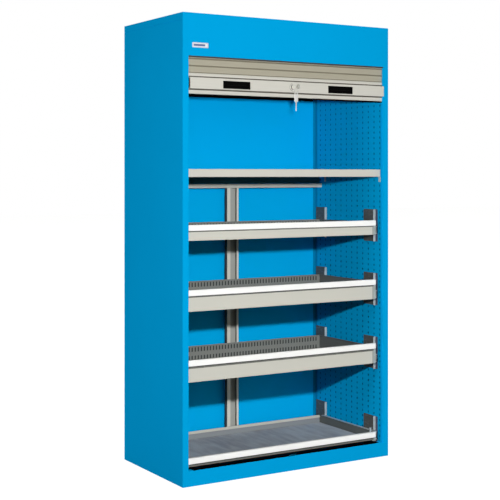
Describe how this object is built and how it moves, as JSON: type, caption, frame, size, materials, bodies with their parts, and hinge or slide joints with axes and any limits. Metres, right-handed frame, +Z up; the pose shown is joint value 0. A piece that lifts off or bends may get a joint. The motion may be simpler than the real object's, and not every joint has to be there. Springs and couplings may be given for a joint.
{
  "type": "roll front tool cabinet",
  "caption": "Tall steel tool cabinet with a roller shutter front, lockable bottom bar, perforated inner walls, a fixed shelf and full-width drawers on telescopic slides.",
  "frame": {"origin": "middle of the casing's footprint on the floor, on the underside of the base stiffener", "axes": "+X to the right seen from the front, +Y from the front to the rear, +Z up; the shutter faces -Y"},
  "size_m": [1.06, 0.6185, 1.95],
  "materials": {
    "blue_paint": "semi-gloss powder coat",
    "beige_paint": "semi-gloss powder coat",
    "grey_metal": "satin grey coat",
    "zinc_plated": "zinc plated",
    "dark_zinc": "dark passivated zinc",
    "curtain_slat": "satin lacquer",
    "bar_profile": "light lacquer",
    "black_rubber": "matt",
    "black_plastic": "matt",
    "white_plastic": "smooth",
    "nylon": "natural",
    "polished_nickel": "polished",
    "spring_steel": "oiled",
    "mat_rubber": "matt"
  },
  "bodies": {
    "cabinet": {"front_frame": "blue_paint", "side_panel_left": "blue_paint", "side_panel_right": "blue_paint", "rear_panel": "blue_paint", "top_cover": "blue_paint", "base_pan": "blue_paint", "perforated_wall_left": "blue_paint", "perforated_wall_right": "blue_paint", "rear_cross_rail": "grey_metal", "rear_post": "grey_metal", "blank_name_plate": "white_plastic", "casing_screws": "zinc_plated", "guide_channel_left": "blue_paint", "guide_channel_right": "blue_paint", "barrel_brackets": "zinc_plated", "barrel_shaft": "zinc_plated", "barrel_spring": "spring_steel", "fixed_shelf": "beige_paint", "shelf_clips": "dark_zinc", "slide_brackets": "dark_zinc", "cabinet_slides": "zinc_plated"},
    "shutter": {"curtain_section_1": "curtain_slat", "bottom_bar": "bar_profile", "bottom_seal": "black_rubber", "grip_cups": "black_plastic", "bar_glides": "nylon", "lock_housing": "polished_nickel"},
    "curtain_2": {"curtain_section_2": "curtain_slat"},
    "curtain_3": {"curtain_section_3": "curtain_slat"},
    "curtain_4": {"curtain_section_4": "curtain_slat"},
    "curtain_5": {"curtain_section_5": "curtain_slat"},
    "curtain_6": {"curtain_section_6": "curtain_slat"},
    "curtain_7": {"curtain_section_7": "curtain_slat"},
    "curtain_8": {"curtain_section_8": "curtain_slat"},
    "barrel": {"barrel_tube": "zinc_plated", "barrel_plugs": "nylon", "barrel_winding": "curtain_slat"},
    "lock": {"lock_rotor": "polished_nickel", "lock_cam": "zinc_plated", "lock_key": "polished_nickel"},
    "key_set": {"key_ring": "polished_nickel", "spare_key": "polished_nickel"},
    "drawer_1": {"drawer_1_tray": "beige_paint", "drawer_1_handle": "white_plastic", "drawer_1_inner_slides": "zinc_plated"},
    "slide_1": {"drawer_1_middle_slides": "zinc_plated"},
    "drawer_2": {"drawer_2_tray": "beige_paint", "drawer_2_handle": "white_plastic", "drawer_2_inner_slides": "zinc_plated"},
    "slide_2": {"drawer_2_middle_slides": "zinc_plated"},
    "drawer_3": {"drawer_3_tray": "beige_paint", "drawer_3_handle": "white_plastic", "drawer_3_inner_slides": "zinc_plated"},
    "slide_3": {"drawer_3_middle_slides": "zinc_plated"},
    "drawer_4": {"drawer_4_tray": "beige_paint", "drawer_4_handle": "white_plastic", "drawer_4_inner_slides": "zinc_plated", "bottom_drawer_mat": "mat_rubber"},
    "slide_4": {"drawer_4_middle_slides": "zinc_plated"}
  },
  "joints": [
    {"name": "shutter", "type": "slide", "parent": "cabinet", "child": "shutter", "axis": [0, 0, -1], "range_m": [0, 1.545]},
    {"name": "curtain_2", "type": "slide", "parent": "cabinet", "child": "curtain_2", "axis": [0, -0.0022, -1], "range_m": [0, 1.3385]},
    {"name": "curtain_3", "type": "slide", "parent": "cabinet", "child": "curtain_3", "axis": [0, -0.0051, -1], "range_m": [0, 1.13202]},
    {"name": "curtain_4", "type": "slide", "parent": "cabinet", "child": "curtain_4", "axis": [0, -0.0094, -1], "range_m": [0, 0.92554]},
    {"name": "curtain_5", "type": "slide", "parent": "cabinet", "child": "curtain_5", "axis": [0, -0.0161, -0.9999], "range_m": [0, 0.71909]},
    {"name": "curtain_6", "type": "slide", "parent": "cabinet", "child": "curtain_6", "axis": [0, -0.0283, -0.9996], "range_m": [0, 0.51271]},
    {"name": "curtain_7", "type": "slide", "parent": "cabinet", "child": "curtain_7", "axis": [0, -0.0568, -0.9984], "range_m": [0, 0.3065]},
    {"name": "curtain_8", "type": "slide", "parent": "cabinet", "child": "curtain_8", "axis": [0, -0.1999, -0.9798], "range_m": [0, 0.10155]},
    {"name": "barrel", "type": "hinge", "parent": "cabinet", "child": "barrel", "pos_m": [0, -0.20014, 1.85], "axis": [1, 0, 0], "range_deg": [-1609.5, 0]},
    {"name": "lock", "type": "hinge", "parent": "shutter", "child": "lock", "pos_m": [0.006, -0.284, 1.661], "axis": [0, 1, 0], "range_deg": [0, 90]},
    {"name": "key_set", "type": "hinge", "parent": "shutter", "child": "key_set", "pos_m": [0.006, -0.3105, 1.661], "axis": [0, 1, 0], "range_deg": [-60, 60]},
    {"name": "drawer_1", "type": "slide", "parent": "cabinet", "child": "drawer_1", "axis": [0, 1, 0], "range_m": [-0.4, 0]},
    {"name": "slide_1", "type": "slide", "parent": "cabinet", "child": "slide_1", "axis": [0, 1, 0], "range_m": [-0.2, 0]},
    {"name": "drawer_2", "type": "slide", "parent": "cabinet", "child": "drawer_2", "axis": [0, 1, 0], "range_m": [-0.4, 0]},
    {"name": "slide_2", "type": "slide", "parent": "cabinet", "child": "slide_2", "axis": [0, 1, 0], "range_m": [-0.2, 0]},
    {"name": "drawer_3", "type": "slide", "parent": "cabinet", "child": "drawer_3", "axis": [0, 1, 0], "range_m": [-0.4, 0]},
    {"name": "slide_3", "type": "slide", "parent": "cabinet", "child": "slide_3", "axis": [0, 1, 0], "range_m": [-0.2, 0]},
    {"name": "drawer_4", "type": "slide", "parent": "cabinet", "child": "drawer_4", "axis": [0, 1, 0], "range_m": [-0.4, 0]},
    {"name": "slide_4", "type": "slide", "parent": "cabinet", "child": "slide_4", "axis": [0, 1, 0], "range_m": [-0.2, 0]}
  ],
  "couplings": [
    {"joint": "curtain_2", "follows": "shutter", "ratio": 0.86635},
    {"joint": "curtain_3", "follows": "shutter", "ratio": 0.7327},
    {"joint": "curtain_4", "follows": "shutter", "ratio": 0.59906},
    {"joint": "curtain_5", "follows": "shutter", "ratio": 0.46543},
    {"joint": "curtain_6", "follows": "shutter", "ratio": 0.33185},
    {"joint": "curtain_7", "follows": "shutter", "ratio": 0.19838},
    {"joint": "curtain_8", "follows": "shutter", "ratio": 0.065728},
    {"joint": "barrel", "follows": "shutter", "rad_per_m": -18.182},
    {"joint": "slide_1", "follows": "drawer_1", "ratio": 0.5},
    {"joint": "slide_2", "follows": "drawer_2", "ratio": 0.5},
    {"joint": "slide_3", "follows": "drawer_3", "ratio": 0.5},
    {"joint": "slide_4", "follows": "drawer_4", "ratio": 0.5}
  ]
}
